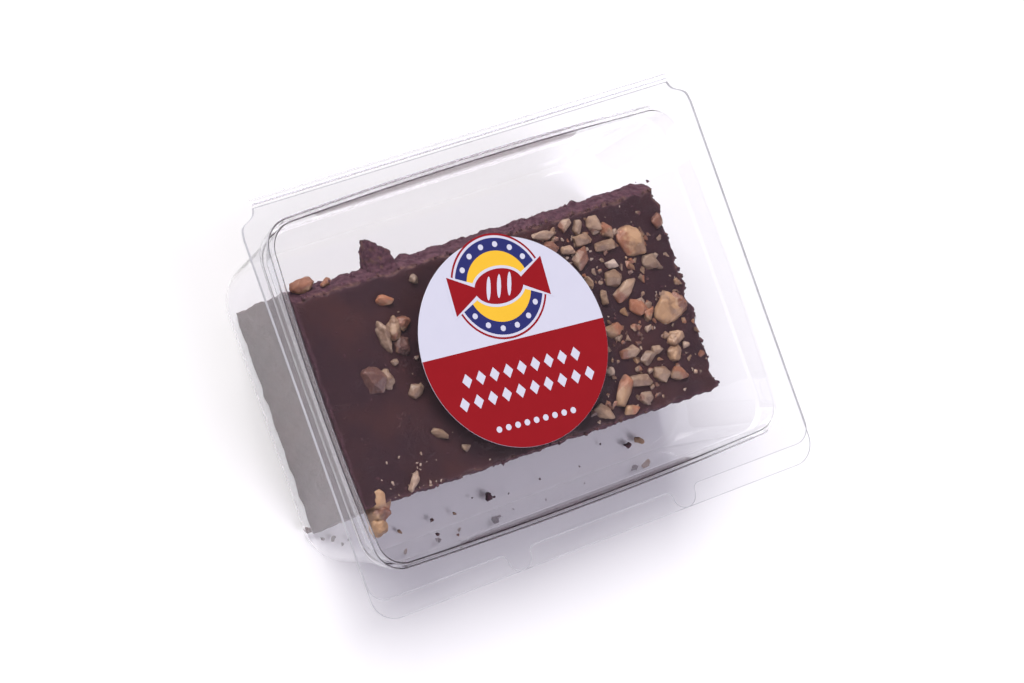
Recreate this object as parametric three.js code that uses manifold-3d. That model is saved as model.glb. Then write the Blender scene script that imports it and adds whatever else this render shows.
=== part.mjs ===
// Chocolate pecan fudge in a clear hinged pack: a shut tub and lid, a round label in the lid's
// recess, and a cut slab with chopped and whole pieces of pecan on its top.
// Millimetres, +Z up. The origin is the middle of the tub's underside, and the hinge runs along +Y's side.

import * as THREE from 'three';
import { ConvexGeometry } from 'three/addons/geometries/ConvexGeometry.js';
import { mergeVertices } from 'three/addons/utils/BufferGeometryUtils.js';
import Module from 'manifold-3d';

const wasm = await Module();
wasm.setup();

// Plastic sheet
const SHEET = 0.5;
const GAP = 0.3;

// Tub
const BASE_HALF_X = 55;
const BASE_HALF_Y = 37.6;
const BASE_CORNER = 11;
const BASE_ROUNDING = 2.4;
const LEDGE_HEIGHT = 32.7;
const LEDGE_CORNER = 8;
const FLANGE_TOP = 40.2;
const FLANGE_HALF_X = 63.75;
const FLANGE_BACK = 46.6;
const TUB_FLANGE_FRONT = 52.25;
const TUB_FLANGE_CORNER = 6;

// Lid: its recess is what the sides of the tub's mouth follow, one sheet and one gap further out
const LID_FLANGE_FRONT = 47.4;
const LID_FLANGE_CORNER = 4.5;
const RECESS_DEPTH = 7;
const RECESS_HALF_X = 57.2;
const RECESS_HALF_Y = 41.1;
const RECESS_CORNER = 6.5;
const RECESS_BULGE = 1.0;
const PANEL_HALF_X = 57.0;
const PANEL_HALF_Y = 40.3;
const PANEL_BULGE = 0.3;
const TAB_X = 24;
const TAB_HALF_WIDTH = 3.2;
const TAB_REACH = 52.2;
const TAB_FILLET = 1.6;

// Hinge
const HINGE_Y = 48;
const BEAD_RADIUS = 0.9;
const BEAD_HALF_LENGTH = 59;

// Label
const LABEL_RADIUS = 25.4;
const LABEL_THICKNESS = 0.2;
const LABEL_LIFT = 0.1;
const LABEL_X = -2.3;
const LABEL_Y = -1.2;

// Fudge slab
const FUDGE_LEFT = -52.4;
const FUDGE_RIGHT = 51;
const FUDGE_FRONT = -27.4;
const FUDGE_BACK = 23.6;
const FUDGE_TOP = 30;
const FUDGE_EDGE = 0.6;
const FRONT_TURN = -0.012;
const BACK_TURN = -0.008;
const RIGHT_TURN = 0.035;
const LEFT_LEAN = -0.2;
const BACK_LEAN = 2.6;
const FOOT_FLARE = 1.6;

// Rings of the pack have this many steps round a corner and along a side
const CORNER_STEPS = 6;
const SIDE_STEPS = 6;

// A row of draws between 0 and 1 that is the same each time for the same seed
function drawsFrom(seed) {
  let state = seed;
  return () => {
    state = (state * 16807) % 2147483647;
    return state / 2147483647;
  };
}

// Solids for joining and cutting
function toSolid(geometry) {
  const bare = geometry.clone();
  for (const name of Object.keys(bare.attributes)) {
    if (name !== 'position') bare.deleteAttribute(name);
  }
  const merged = mergeVertices(bare, 1e-5);
  return new wasm.Manifold(new wasm.Mesh({
    numProp: 3,
    vertProperties: new Float32Array(merged.attributes.position.array),
    triVerts: new Uint32Array(merged.index.array),
  }));
}

function toGeometry(solid) {
  const mesh = solid.getMesh();
  const geometry = new THREE.BufferGeometry();
  geometry.setAttribute('position', new THREE.BufferAttribute(mesh.vertProperties, 3));
  geometry.setIndex(new THREE.BufferAttribute(mesh.triVerts, 1));
  geometry.computeVertexNormals();
  return geometry;
}

// Rounded rectangle of points at one height. Its sides swell outwards by bulge at their middles.
function ring({ halfX, front, back, corner, z, bulge = 0 }) {
  const corners = [
    { x: halfX - corner, y: back - corner, start: 0 },
    { x: -halfX + corner, y: back - corner, start: 1 },
    { x: -halfX + corner, y: -front + corner, start: 2 },
    { x: halfX - corner, y: -front + corner, start: 3 },
  ];
  const points = [];
  corners.forEach((here, index) => {
    const next = corners[(index + 1) % corners.length];
    for (let step = 0; step <= CORNER_STEPS; step += 1) {
      const angle = (here.start + step / CORNER_STEPS) * Math.PI / 2;
      points.push([here.x + corner * Math.cos(angle), here.y + corner * Math.sin(angle), z]);
    }
    const end = (here.start + 1) * Math.PI / 2;
    const outX = Math.cos(end);
    const outY = Math.sin(end);
    for (let step = 1; step < SIDE_STEPS; step += 1) {
      const along = step / SIDE_STEPS;
      const swell = bulge * (1 - (2 * along - 1) ** 2);
      const x = THREE.MathUtils.lerp(here.x, next.x, along) + (corner + swell) * outX;
      const y = THREE.MathUtils.lerp(here.y, next.y, along) + (corner + swell) * outY;
      points.push([x, y, z]);
    }
  });
  return points;
}

// Closed skin over a list of rings, with a flat cap on the first and on the last
function loft(rings) {
  const count = rings[0].length;
  const positions = rings.flat(2);
  const faces = [];
  for (let level = 0; level + 1 < rings.length; level += 1) {
    for (let index = 0; index < count; index += 1) {
      const a = level * count + index;
      const b = level * count + (index + 1) % count;
      faces.push(a, b, b + count, a, b + count, a + count);
    }
  }
  const firstMiddle = rings.length * count;
  const lastMiddle = firstMiddle + 1;
  const last = rings[rings.length - 1];
  positions.push(0, 0, rings[0][0][2], 0, 0, last[0][2]);
  const lastStart = (rings.length - 1) * count;
  for (let index = 0; index < count; index += 1) {
    const next = (index + 1) % count;
    faces.push(firstMiddle, next, index);
    faces.push(lastMiddle, lastStart + index, lastStart + next);
  }
  const geometry = new THREE.BufferGeometry();
  geometry.setAttribute('position', new THREE.Float32BufferAttribute(positions, 3));
  geometry.setIndex(faces);
  return geometry;
}

// A ring of the tub or lid that is the same at the front and the back
function evenRing(halfX, halfY, corner, z, bulge = 0) {
  return ring({ halfX, front: halfY, back: halfY, corner, z, bulge });
}

// Rounding from the flat underside up to the wall, for one face of the sheet
function baseRings(inset, floor) {
  const rings = [];
  for (const share of [0, 0.5, 1]) {
    const angle = share * Math.PI / 2;
    const radius = BASE_ROUNDING - inset;
    const back = inset + radius * (1 - Math.sin(angle));
    const z = floor + radius * (1 - Math.cos(angle));
    rings.push(evenRing(BASE_HALF_X - back, BASE_HALF_Y - back, BASE_CORNER - back, z));
  }
  return rings;
}

function tubShell() {
  const mouth = SHEET + GAP;
  const ledgeTop = LEDGE_HEIGHT + SHEET;
  const skin = mouth + SHEET;
  const outside = [
    ...baseRings(0, 0),
    evenRing(PANEL_HALF_X + SHEET, PANEL_HALF_Y + SHEET, LEDGE_CORNER, LEDGE_HEIGHT, PANEL_BULGE),
    evenRing(PANEL_HALF_X + skin, PANEL_HALF_Y + skin, LEDGE_CORNER, LEDGE_HEIGHT, PANEL_BULGE),
    evenRing(RECESS_HALF_X + skin, RECESS_HALF_Y + skin, RECESS_CORNER + mouth,
      FLANGE_TOP - SHEET, RECESS_BULGE),
  ];
  const flange = [FLANGE_TOP - SHEET, FLANGE_TOP].map((z) => ring({
    halfX: FLANGE_HALF_X, front: TUB_FLANGE_FRONT, back: FLANGE_BACK, corner: TUB_FLANGE_CORNER, z,
  }));
  const inside = [
    evenRing(RECESS_HALF_X + mouth, RECESS_HALF_Y + mouth, RECESS_CORNER + mouth, FLANGE_TOP, RECESS_BULGE),
    evenRing(PANEL_HALF_X + mouth, PANEL_HALF_Y + mouth, LEDGE_CORNER, ledgeTop, PANEL_BULGE),
    evenRing(PANEL_HALF_X, PANEL_HALF_Y, LEDGE_CORNER, ledgeTop, PANEL_BULGE),
    ...baseRings(SHEET, SHEET).reverse(),
  ];
  return toSolid(loft([...outside, ...flange, ...inside]));
}

// Round bead of the hinge along X, with rounded ends, and the strip that joins it to the tub's flange
function hingeBead(z) {
  const bead = new THREE.CapsuleGeometry(BEAD_RADIUS, 2 * BEAD_HALF_LENGTH, 3, 10, 1);
  bead.rotateZ(Math.PI / 2);
  bead.translate(0, HINGE_Y, z);
  const stripDepth = HINGE_Y - FLANGE_BACK + 1;
  const strip = new THREE.BoxGeometry(2 * BEAD_HALF_LENGTH, stripDepth, SHEET);
  strip.translate(0, HINGE_Y - stripDepth / 2, FLANGE_TOP - SHEET / 2);
  return toSolid(bead).add(toSolid(strip));
}

// One pull tab of the lid's front edge, seen from above: hollow corners at its root, a round tip
function tab(x, z) {
  const root = -LID_FLANGE_FRONT;
  const tip = -TAB_REACH;
  const outline = new THREE.Shape();
  outline.moveTo(-TAB_HALF_WIDTH - TAB_FILLET, root + 1);
  outline.lineTo(-TAB_HALF_WIDTH - TAB_FILLET, root);
  outline.absarc(-TAB_HALF_WIDTH - TAB_FILLET, root - TAB_FILLET, TAB_FILLET, Math.PI / 2, 0, true);
  outline.absellipse(0, root - TAB_FILLET, TAB_HALF_WIDTH, root - TAB_FILLET - tip, Math.PI, 2 * Math.PI);
  outline.absarc(TAB_HALF_WIDTH + TAB_FILLET, root - TAB_FILLET, TAB_FILLET, Math.PI, Math.PI / 2, true);
  outline.lineTo(TAB_HALF_WIDTH + TAB_FILLET, root + 1);
  outline.closePath();
  const body = new THREE.ExtrudeGeometry(outline, { depth: SHEET, bevelEnabled: false, curveSegments: 5 });
  body.translate(x, 0, z);
  return toSolid(body);
}

function lidShell() {
  const underside = FLANGE_TOP + GAP;
  const top = underside + SHEET;
  const panel = top - RECESS_DEPTH;
  const innerCorner = LEDGE_CORNER - 2 * SHEET;
  const below = [
    evenRing(PANEL_HALF_X - SHEET, PANEL_HALF_Y - SHEET, innerCorner, panel - SHEET, PANEL_BULGE),
    evenRing(PANEL_HALF_X + SHEET, PANEL_HALF_Y + SHEET, LEDGE_CORNER, panel, PANEL_BULGE),
    evenRing(RECESS_HALF_X + SHEET, RECESS_HALF_Y + SHEET, RECESS_CORNER + SHEET, underside, RECESS_BULGE),
  ];
  const flange = [underside, top].map((z) => ring({
    halfX: FLANGE_HALF_X, front: LID_FLANGE_FRONT, back: FLANGE_BACK, corner: LID_FLANGE_CORNER, z,
  }));
  const above = [
    evenRing(RECESS_HALF_X, RECESS_HALF_Y, RECESS_CORNER, top, RECESS_BULGE),
    evenRing(PANEL_HALF_X, PANEL_HALF_Y, LEDGE_CORNER - SHEET, panel + SHEET, PANEL_BULGE),
    evenRing(PANEL_HALF_X - SHEET, PANEL_HALF_Y - SHEET, innerCorner, panel, PANEL_BULGE),
  ];
  let shell = toSolid(loft([...below, ...flange, ...above]));
  for (const side of [-1, 1]) {
    shell = shell.add(tab(side * TAB_X, underside));
  }
  return shell;
}

// Uneven ripple of about one unit, used for the slab's faces
function ripple(a, b) {
  return 0.5 * Math.sin(1.7 * a + 0.9 * b + 0.4)
    + 0.3 * Math.sin(0.8 * b - 2.3 * a + 1.9)
    + 0.2 * Math.sin(3.7 * a + 2.9 * b + 4.1);
}

// The slab's top is nearly flat, with shallow hollows
function topOfSlab(x, y) {
  return FUDGE_TOP + 0.25 * ripple(0.09 * x + 1, 0.12 * y) - 0.0006 * (x - FUDGE_LEFT);
}

// The slab's four cut sides. The front flares out at its left foot, the back has a shelf just below
// the top edge, and the right end is broken off ragged.
function frontOfSlab(x, z) {
  const below = 1 - z / FUDGE_TOP;
  const flare = FOOT_FLARE * below * THREE.MathUtils.clamp((-38 - x) / 12, 0, 1);
  return FUDGE_FRONT + FRONT_TURN * x - flare - 0.35 * ripple(0.5 * x, 0.4 * z);
}

function backOfSlab(x, z) {
  const below = 1 - z / FUDGE_TOP;
  const shelf = BACK_LEAN * Math.min(1, 7 * below) + 0.6 * below;
  return FUDGE_BACK + BACK_TURN * x + shelf + 0.4 * ripple(0.45 * x + 2, 0.5 * z + 1);
}

function leftOfSlab(y, z) {
  return FUDGE_LEFT + LEFT_LEAN * (z / FUDGE_TOP) + 0.25 * ripple(0.5 * y + 3, 0.5 * z + 2);
}

function rightOfSlab(y, z) {
  return FUDGE_RIGHT + RIGHT_TURN * y + 0.7 * ripple(0.42 * y + 5, 0.3 * z + 4);
}

// Cut slab: a fine box whose faces are moved out to the functions above
function slab() {
  const geometry = new THREE.BoxGeometry(1, 1, 1, 36, 18, 8);
  geometry.deleteAttribute('normal');
  geometry.deleteAttribute('uv');
  const skin = mergeVertices(geometry, 1e-5);
  const position = skin.attributes.position;
  const floor = SHEET + GAP;
  const { lerp } = THREE.MathUtils;
  for (let index = 0; index < position.count; index += 1) {
    const u = position.getX(index) + 0.5;
    const v = position.getY(index) + 0.5;
    const w = position.getZ(index) + 0.5;
    const onRim = w < 0.01 || w > 0.99;
    const inset = onRim ? FUDGE_EDGE : 0;
    const roughX = lerp(FUDGE_LEFT, FUDGE_RIGHT, u);
    const roughY = lerp(FUDGE_FRONT, FUDGE_BACK, v);
    const level = onRim ? w : lerp(0.02, 0.98, (w - 0.125) / 0.75);
    const z = lerp(floor, topOfSlab(roughX, roughY), level);
    const x = lerp(leftOfSlab(roughY, z) + inset, rightOfSlab(roughY, z) - inset, u);
    const y = lerp(frontOfSlab(x, z) + inset, backOfSlab(x, z) - inset, v);
    position.setXYZ(index, x, y, z);
  }
  return toSolid(skin);
}

// A broken piece: the hull of points spread evenly round a ball and pushed in and out
function chunk({ x, y, z, length, width, height, turn, tilt = 0, corners = 13, seed, grow = 0 }) {
  const draw = drawsFrom(seed);
  const points = [];
  for (let index = 0; index < corners; index += 1) {
    const level = 1 - 2 * (index + 0.5) / corners;
    const around = index * 2.399963 + 0.9 * draw();
    const across = Math.sqrt(1 - level * level);
    const reach = 0.8 + 0.32 * draw();
    points.push(new THREE.Vector3(
      reach * across * Math.cos(around) * (length / 2 + grow),
      reach * across * Math.sin(around) * (width / 2 + grow),
      reach * level * (height / 2 + grow),
    ));
  }
  const shape = new ConvexGeometry(points);
  shape.rotateY(THREE.MathUtils.degToRad(tilt));
  shape.rotateZ(THREE.MathUtils.degToRad(turn));
  shape.translate(x, y, z);
  return shape;
}

// Large pieces of pecan, each a piece of its own: x, y, length, width, turn, and how far it stands proud
const LARGE_PECANS = [
  { x: 40.4, y: 13.1, length: 9.8, width: 7.4, turn: -39, height: 5.2, proud: 2.3, seed: 11 },
  { x: 44.8, y: -5.9, length: 11.4, width: 9.2, turn: -25, height: 5.4, proud: 2.4, seed: 23 },
  { x: 42.2, y: -15.0, length: 9.0, width: 5.4, turn: 56, height: 4.6, proud: 2.0, seed: 37 },
  { x: -38.0, y: 0.9, length: 8.6, width: 7.6, turn: 37, height: 4.8, proud: 2.1, seed: 41 },
  { x: -30.4, y: 9.6, length: 9.4, width: 7.8, turn: 89, height: 4.8, proud: 2.0, seed: 59 },
  { x: -48.4, y: -27.9, length: 12.4, width: 6.2, turn: 75, height: 7.6, proud: 0.6, seed: 67 },
];

function largePecan(place, grow) {
  const z = FUDGE_TOP + place.proud - place.height / 2;
  return toSolid(chunk({ ...place, z, corners: 30, grow }));
}

// Chopped pecan that shows as single pieces: x, y, length, width and turn
const CHOPPED_PECANS = [
  [43.6, 6.4, 4.7, 3.8, -34], [33.1, 13.7, 5.9, 2.9, -3], [34.7, 17.0, 3.9, 3.2, -44],
  [31.5, 19.7, 4.9, 3.4, -34], [27.0, 20.0, 4.5, 2.2, 57], [23.6, 21.4, 4.2, 2.5, 47],
  [17.7, 20.6, 6.2, 2.3, -7], [26.5, 16.8, 4.9, 3.1, -7], [22.2, 15.4, 4.0, 2.2, -16],
  [18.0, 17.4, 4.7, 2.8, -25], [25.0, 12.6, 5.3, 3.6, 51], [32.6, 8.9, 3.4, 2.0, -12],
  [31.9, 5.6, 4.9, 3.8, -16], [33.7, 1.8, 7.1, 3.6, 27], [35.8, -3.1, 5.4, 4.0, -16],
  [38.0, -5.4, 4.0, 2.2, 51], [26.8, -6.2, 5.0, 3.3, -8], [29.6, -12.7, 5.7, 3.1, 0],
  [33.8, -15.4, 4.3, 3.3, 36], [36.5, -14.2, 2.7, 2.2, -17], [35.8, -20.3, 4.4, 4.2, 56],
  [40.5, -21.5, 4.5, 3.2, -17], [24.2, -21.1, 7.2, 4.4, 56], [29.7, -20.0, 7.1, 3.0, -21],
  [29.3, -24.3, 3.7, 3.2, 46], [24.6, -26.0, 4.3, 2.5, -8], [16.8, -24.1, 5.0, 3.1, -40],
  [49.4, 15.3, 4.1, 3.0, 89], [22.4, -15.6, 2.8, 2.2, -61], [27.6, 1.6, 3.5, 2.3, 89],
  [25.1, 6.4, 3.1, 1.8, -78], [-29.3, 17.7, 4.9, 2.3, -16], [-20.4, 20.3, 2.3, 2.2, 68],
  [-29.6, -4.5, 4.1, 3.4, 37], [-27.0, -16.1, 4.8, 2.0, -36], [-38.0, -24.5, 4.7, 1.7, 52],
];

const CHOPPED_HEIGHT = 3.0;
const CHOPPED_SINK = 0.4;

// Fine chopped pecan strewn by rule: thick on the right, thin left of the middle, bare at the far left
const FINE_COUNT = 46;
const FINE_SIZE = [1.5, 3.2];
const FINE_THICK_FROM = 12;
const FINE_THIN_FROM = -33;
const FINE_SEED = 2027;

function finePecans() {
  const draw = drawsFrom(FINE_SEED);
  const { lerp } = THREE.MathUtils;
  const pieces = [];
  for (let index = 0; index < FINE_COUNT; index += 1) {
    const thick = index % 4 !== 0;
    const from = thick ? FINE_THICK_FROM : FINE_THIN_FROM;
    const to = thick ? FUDGE_RIGHT - 3 : FINE_THICK_FROM;
    const x = lerp(from, to, draw());
    const y = lerp(FUDGE_FRONT + 2.5, FUDGE_BACK - 3.5, draw());
    const length = lerp(FINE_SIZE[0], FINE_SIZE[1], draw());
    pieces.push({ x, y, length, width: length * lerp(0.6, 0.95, draw()), turn: 180 * draw() });
  }
  return pieces;
}

function choppedPecans() {
  const placed = CHOPPED_PECANS.map(([x, y, length, width, turn]) => ({ x, y, length, width, turn }));
  const fine = finePecans().map((piece) => ({ ...piece, fine: true }));
  return [...placed, ...fine].map((piece, index) => {
    const height = piece.fine ? 0.7 * piece.width : CHOPPED_HEIGHT;
    const z = topOfSlab(piece.x, piece.y) + (0.5 - CHOPPED_SINK) * height;
    const corners = piece.fine ? 9 : 13;
    return toSolid(chunk({ ...piece, z, height, corners, seed: 101 + 7 * index }));
  });
}

// Splinter of fudge that sticks out of the back edge: a wedge from a wide root to a narrow tip.
// Each section has its left side, right side, distance back and half height.
const SPLINTER_Z = 26.2;
const SPLINTER_SECTIONS = [
  { left: -30.6, right: -22.2, y: 23, half: 2.8 },
  { left: -28.9, right: -22, y: 28.6, half: 2.1 },
  { left: -28.2, right: -24.6, y: 31.2, half: 1.2 },
  { left: -27.7, right: -27, y: 33.2, half: 0.4 },
];

function splinter() {
  const points = [];
  for (const { left, right, y, half } of SPLINTER_SECTIONS) {
    points.push(new THREE.Vector3(left, y, SPLINTER_Z - half));
    points.push(new THREE.Vector3(right, y, SPLINTER_Z - half));
    points.push(new THREE.Vector3(left + 0.3 * half, y, SPLINTER_Z + half));
    points.push(new THREE.Vector3(right - 0.3 * half, y, SPLINTER_Z + half));
  }
  const wedge = toSolid(new ConvexGeometry(points));
  return wedge.subtract(slab().translate([0, GAP, 0]));
}

// Nut that lies on the edge at the back left corner
const CORNER_NUT = { x: -46.9, y: 27.2, z: 27.6, length: 7.6, width: 4.2, height: 4.4, turn: -6, seed: 83 };

function fudgeSolid() {
  let solid = slab().add(toSolid(chunk(CORNER_NUT)));
  for (const piece of choppedPecans()) {
    solid = solid.add(piece);
  }
  for (const place of LARGE_PECANS) {
    solid = solid.subtract(largePecan(place, GAP));
  }
  return largestPiece(solid);
}

// Cutting the large pieces' beds can leave a chip of a small one loose: only the slab is kept
function largestPiece(solid) {
  const pieces = solid.decompose();
  return pieces.reduce((best, piece) => (piece.volume() > best.volume() ? piece : best));
}

function labelDisc(z) {
  const disc = new THREE.CylinderGeometry(LABEL_RADIUS, LABEL_RADIUS, LABEL_THICKNESS, 64);
  disc.rotateX(Math.PI / 2);
  disc.translate(LABEL_X, LABEL_Y, z);
  return disc;
}

// Materials
function finish(color, roughness, opacity = 1) {
  return new THREE.MeshStandardMaterial({
    color, roughness, metalness: 0, opacity, transparent: opacity < 1,
  });
}

function add(group, name, geometry, material) {
  const mesh = new THREE.Mesh(geometry, material);
  mesh.name = name;
  group.add(mesh);
}

const part = new THREE.Group();
const hingeHeight = FLANGE_TOP + GAP / 2;
const panelTop = FLANGE_TOP + GAP + SHEET - RECESS_DEPTH;
add(part, 'tub', toGeometry(tubShell().add(hingeBead(hingeHeight))), finish(0xe9ebf2, 0.08, 0.3));
add(part, 'lid', toGeometry(lidShell()), finish(0xe9ebf2, 0.08, 0.3));
add(part, 'label', labelDisc(panelTop + LABEL_LIFT + LABEL_THICKNESS / 2), finish(0xb3252f, 0.45));
add(part, 'fudge', toGeometry(fudgeSolid()), finish(0x4a3536, 0.6));
add(part, 'splinter', toGeometry(splinter()), finish(0x4a3536, 0.7));
LARGE_PECANS.forEach((place, index) => {
  add(part, `pecan_${index + 1}`, toGeometry(largePecan(place, 0)), finish(0xc09a68, 0.7));
});

export default part;
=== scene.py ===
"""Chocolate pecan fudge in a clear hinged pack, on a pale floor in soft studio light.

Lengths are written in millimetres and turned into metres where a mesh is made. The pack's profile
and the slab's faces follow the same rules as the solids that they stand for.
"""
import math

import bmesh
import bpy
import numpy as np
from mathutils import Matrix, Vector, noise


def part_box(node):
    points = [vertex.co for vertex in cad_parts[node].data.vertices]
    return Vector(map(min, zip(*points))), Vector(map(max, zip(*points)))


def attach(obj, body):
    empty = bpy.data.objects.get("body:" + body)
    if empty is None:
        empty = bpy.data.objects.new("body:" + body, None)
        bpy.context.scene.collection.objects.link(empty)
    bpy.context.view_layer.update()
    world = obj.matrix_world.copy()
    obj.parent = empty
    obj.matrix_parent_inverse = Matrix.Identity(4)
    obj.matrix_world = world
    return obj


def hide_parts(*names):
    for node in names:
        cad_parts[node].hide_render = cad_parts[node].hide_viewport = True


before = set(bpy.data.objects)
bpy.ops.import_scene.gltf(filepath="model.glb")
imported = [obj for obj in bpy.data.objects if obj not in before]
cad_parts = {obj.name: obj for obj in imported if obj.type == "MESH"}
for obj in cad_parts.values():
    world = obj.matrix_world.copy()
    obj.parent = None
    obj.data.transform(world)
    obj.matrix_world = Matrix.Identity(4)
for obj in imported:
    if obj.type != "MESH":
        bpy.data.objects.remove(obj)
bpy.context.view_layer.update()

MM = 0.001


# ---- Sizes ----

# Camera: where it stands, what it looks at and how far it is rolled
CAMERA_PLACE = (-416.629, -14.154, 750.858)
CAMERA_TARGET = (-0.502, -0.979, 30.0)
CAMERA_ROLL = -0.34
CAMERA_LENS = 123.05
CAMERA_SENSOR = 36.0

# Pack
SHEET = 0.25
BASE = dict(half_x=55.0, half_y=37.6, corner=11.0)
BASE_ROUNDING = 2.6
LEDGE_Z = 32.7
LEDGE_STEP = 0.8
LEDGE_RISE = 0.3
LEDGE_BEND = 0.4
MOUTH_BEND = 0.7
WALL_TOP = dict(half_x=57.5, half_y=40.8, corner=8.0, bulge=0.3)
MOUTH = dict(half_x=58.5, half_y=42.4, corner=7.3, bulge=1.0)
FLANGE_HALF_X = 63.75
FLANGE_BACK = 46.6
TUB_FLANGE_FRONT = 52.25
TUB_FLANGE_CORNER = 6.0
TUB_FLANGE_TOP = 40.2
LID_FLANGE_FRONT = 47.4
LID_FLANGE_CORNER = 4.5
LID_FLANGE_UNDER = 40.5
CUT_MARGIN = 0.14
FLANGE_MARGIN = 0.8
RECESS = dict(half_x=57.2, half_y=41.1, corner=6.5, bulge=1.0)
PANEL = dict(half_x=57.0, half_y=40.3, corner=7.5, bulge=0.3)
PANEL_Z = 34.0
PANEL_BEND = 0.6
RECESS_BEND = 0.4
FLAT_INSET = 9.0
TAB_X = 24.0
TAB_HALF_WIDTH = 3.2
TAB_REACH = 4.8
TAB_FILLET = 1.6
TAB_CLEARANCE = 5.6
TAB_SPAN = 57.75
FRONT_SPAN = 54
HINGE_Y = 48.0
HINGE_Z = 40.35
HINGE_RADIUS = 0.85
HINGE_HALF_LENGTH = 59.0

# Where the flange's back corners start to curl in, and the curl's points inwards and backwards
WAIST_START = 40.0
WAIST_POINTS = [(0.0, 0.0), (0.35, 2.2), (1.2, 3.3), (3.2, 4.3), (4.2, 5.1), (4.8, 6.6)]

# Slab
FUDGE_LEFT = -52.4
FUDGE_RIGHT = 51.0
FUDGE_FRONT = -27.4
FUDGE_BACK = 23.6
FUDGE_FLOOR = 0.62
FUDGE_TOP = 30.0
FRONT_TURN = -0.012
BACK_TURN = -0.008
RIGHT_TURN = 0.035
LEFT_LEAN = -0.2
BACK_LEAN = 2.6
BACK_SPREAD = 0.6
FOOT_FLARE = 1.6
FLARE_FROM = -38
FLARE_LENGTH = 12

# The slab's rough length, width and height, which turn shares into gaps from its edges
SLAB_LENGTH = 104
SLAB_WIDTH = 51
SLAB_HEIGHT = 29.4


# ---- Rules shared with the solids ----

def draws_from(seed):
    """A row of draws between 0 and 1 that is the same each time for the same seed."""
    state = seed

    def draw():
        nonlocal state
        state = state * 16807 % 2147483647
        return state / 2147483647

    return draw


def lerp(a, b, share):
    return a + (b - a) * share


def clamp(value, low=0.0, high=1.0):
    return min(high, max(low, value))


def ripple(a, b):
    """Uneven ripple of about one unit."""
    return (
        0.5 * math.sin(1.7 * a + 0.9 * b + 0.4)
        + 0.3 * math.sin(0.8 * b - 2.3 * a + 1.9)
        + 0.2 * math.sin(3.7 * a + 2.9 * b + 4.1)
    )


def top_of_slab(x, y):
    return FUDGE_TOP + 0.25 * ripple(0.09 * x + 1, 0.12 * y) - 0.0006 * (x - FUDGE_LEFT)


def front_of_slab(x, z):
    below = 1 - z / FUDGE_TOP
    flare = FOOT_FLARE * below * clamp((FLARE_FROM - x) / FLARE_LENGTH)
    return FUDGE_FRONT + FRONT_TURN * x - flare - 0.35 * ripple(0.5 * x, 0.4 * z)


def back_of_slab(x, z):
    below = 1 - z / FUDGE_TOP
    shelf = BACK_LEAN * min(1.0, 7 * below) + BACK_SPREAD * below
    return FUDGE_BACK + BACK_TURN * x + shelf + 0.4 * ripple(0.45 * x + 2, 0.5 * z + 1)


def left_of_slab(y, z):
    return FUDGE_LEFT + LEFT_LEAN * z / FUDGE_TOP + 0.25 * ripple(0.5 * y + 3, 0.5 * z + 2)


def right_of_slab(y, z):
    return FUDGE_RIGHT + RIGHT_TURN * y + 0.7 * ripple(0.42 * y + 5, 0.3 * z + 4)


# ---- Meshes ----

def make_object(name, points, faces, slot, body="tub"):
    """A smooth mesh object from points in millimetres, riding on a body."""
    mesh = bpy.data.meshes.new(name)
    mesh.from_pydata([(x * MM, y * MM, z * MM) for x, y, z in points], [], faces)
    mesh.update()
    mesh.shade_smooth()
    piece = bpy.data.objects.new(name, mesh)
    bpy.context.scene.collection.objects.link(piece)
    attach(piece, body)
    return piece


def bumps(point, size, octaves=3):
    """Signed noise whose lumps are about size wide, at a point in millimetres."""
    return noise.fractal(Vector(point) / size, 0.9, 2.1, octaves)


def sharpen(piece, degrees=40):
    piece.data.set_sharp_from_angle(angle=math.radians(degrees))


def give_values(piece, name, values):
    attribute = piece.data.attributes.new(name, "FLOAT", "POINT")
    attribute.data.foreach_set("value", values)


# ---- Pack ----

CORNER_STEPS = 16
SIDE_STEPS = 36

# How much of the way to the next bend a bend may take, and how far past its end the keeper lies
LONGEST_BEND = 0.44
KEEPER_REACH = 1.12


def tab_outline():
    """Places along the front edge and how far the edge is pushed out there, tabs included."""
    out = []
    for side in (-1, 1):
        foot = side * TAB_X - TAB_HALF_WIDTH - TAB_FILLET
        for step in range(7):
            angle = step / 6 * math.pi / 2
            out.append((foot + TAB_FILLET * math.sin(angle), TAB_FILLET * (1 - math.cos(angle))))
        for step in range(1, 16):
            angle = step / 16 * math.pi
            reach = TAB_FILLET + (TAB_REACH - TAB_FILLET) * math.sin(angle)
            out.append((side * TAB_X - TAB_HALF_WIDTH * math.cos(angle), reach))
        foot = side * TAB_X + TAB_HALF_WIDTH + TAB_FILLET
        for step in range(7):
            angle = (1 - step / 6) * math.pi / 2
            out.append((foot - TAB_FILLET * math.sin(angle), TAB_FILLET * (1 - math.cos(angle))))
    plain = np.linspace(-FRONT_SPAN, FRONT_SPAN, 28)
    return sorted(out + [(x, 0.0) for x in plain if abs(abs(x) - TAB_X) > TAB_CLEARANCE])


TAB_OUTLINE = tab_outline()


def side_places(start, end, front_side, on_flange, tab_share):
    """Shares along a side, and how far each is pushed out: the front has a finer row, with tabs."""
    if not front_side:
        return [(step / SIDE_STEPS, 0.0) for step in range(1, SIDE_STEPS)]
    if on_flange:
        return [((x - start) / (end - start), tab_share * push) for x, push in TAB_OUTLINE]
    return [(0.5 + x / (2 * TAB_SPAN), 0.0) for x, _ in TAB_OUTLINE]


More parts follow.
